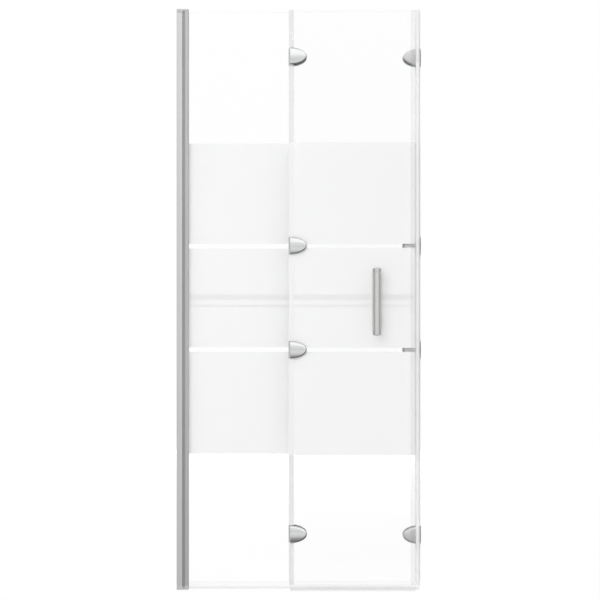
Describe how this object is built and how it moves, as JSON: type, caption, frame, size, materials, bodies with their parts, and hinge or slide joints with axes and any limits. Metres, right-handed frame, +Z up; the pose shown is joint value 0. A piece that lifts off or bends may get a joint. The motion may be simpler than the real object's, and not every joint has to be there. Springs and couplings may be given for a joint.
{
  "type": "folding shower screen",
  "caption": "Frosted-band glass bath screen with a wall profile, a fixed panel and two panels that fold in front of it on half-oval clamp hinges, with a bar handle.",
  "frame": {"origin": "at the wall, on the wall profile's back face at its foot, in the fixed glass's middle plane", "axes": "+X along the screen away from the wall, -Y towards the handle side, +Z up"},
  "size_m": [0.5889, 0.0938, 1.4],
  "materials": {
    "glass": "clear safety glass with frosted bands",
    "profile": "satin anodised",
    "cap": "fine matt",
    "chrome": "polished",
    "steel": "turned",
    "seal": "translucent soft plastic",
    "gasket": "soft grey",
    "washer": "clear plastic",
    "handle": "satin",
    "handle_cap": "polished"
  },
  "bodies": {
    "wall_side": {"wall_channel": "profile", "glazing_profile": "profile", "glazing_gasket_front": "gasket", "glazing_gasket_back": "gasket", "profile_cap_top": "cap", "profile_cap_bottom": "cap", "adjusting_screws": "steel", "fixed_glass": "glass", "fixed_bottom_seal": "seal", "fixed_hinge_seal": "seal", "fixed_hinge_pins": "steel", "fixed_hinge_leaf_1": "chrome", "fixed_hinge_leaf_2": "chrome", "fixed_hinge_leaf_3": "chrome", "fixed_hinge_leaf_4": "chrome", "fixed_hinge_gaskets": "gasket", "fixed_hinge_clamp_plates": "chrome", "fixed_hinge_clamp_screws": "steel"},
    "middle_panel": {"middle_glass": "glass", "middle_bottom_seal": "seal", "middle_hinge_pins": "steel", "middle_right_leaf_1": "chrome", "middle_right_leaf_2": "chrome", "middle_right_leaf_3": "chrome", "middle_right_leaf_4": "chrome", "middle_right_gaskets": "gasket", "middle_right_clamp_plates": "chrome", "middle_right_clamp_screws": "steel", "middle_left_leaf_1": "chrome", "middle_left_leaf_2": "chrome", "middle_left_leaf_3": "chrome", "middle_left_leaf_4": "chrome", "middle_left_gaskets": "gasket", "middle_left_clamp_plates": "chrome", "middle_left_clamp_screws": "steel"},
    "end_panel": {"end_glass": "glass", "end_bottom_seal": "seal", "end_hinge_seal": "seal", "end_free_seal": "seal", "end_hinge_leaf_1": "chrome", "end_hinge_leaf_2": "chrome", "end_hinge_leaf_3": "chrome", "end_hinge_leaf_4": "chrome", "end_hinge_gaskets": "gasket", "end_hinge_clamp_plates": "chrome", "end_hinge_clamp_screws": "steel", "handle_bar": "handle", "handle_cap_top": "handle_cap", "handle_cap_bottom": "handle_cap", "handle_post_top": "handle", "handle_post_bottom": "handle", "handle_washers": "washer", "handle_sleeves": "washer", "handle_screws": "steel"}
  },
  "joints": [
    {"name": "middle_fold", "type": "hinge", "parent": "wall_side", "child": "middle_panel", "pos_m": [0.5855, -0.009, 0.7], "axis": [0, 0, 1], "range_deg": [0, 180]},
    {"name": "end_fold", "type": "hinge", "parent": "middle_panel", "child": "end_panel", "pos_m": [0.2736, -0.027, 0.7], "axis": [0, 0, -1], "range_deg": [0, 170]}
  ]
}
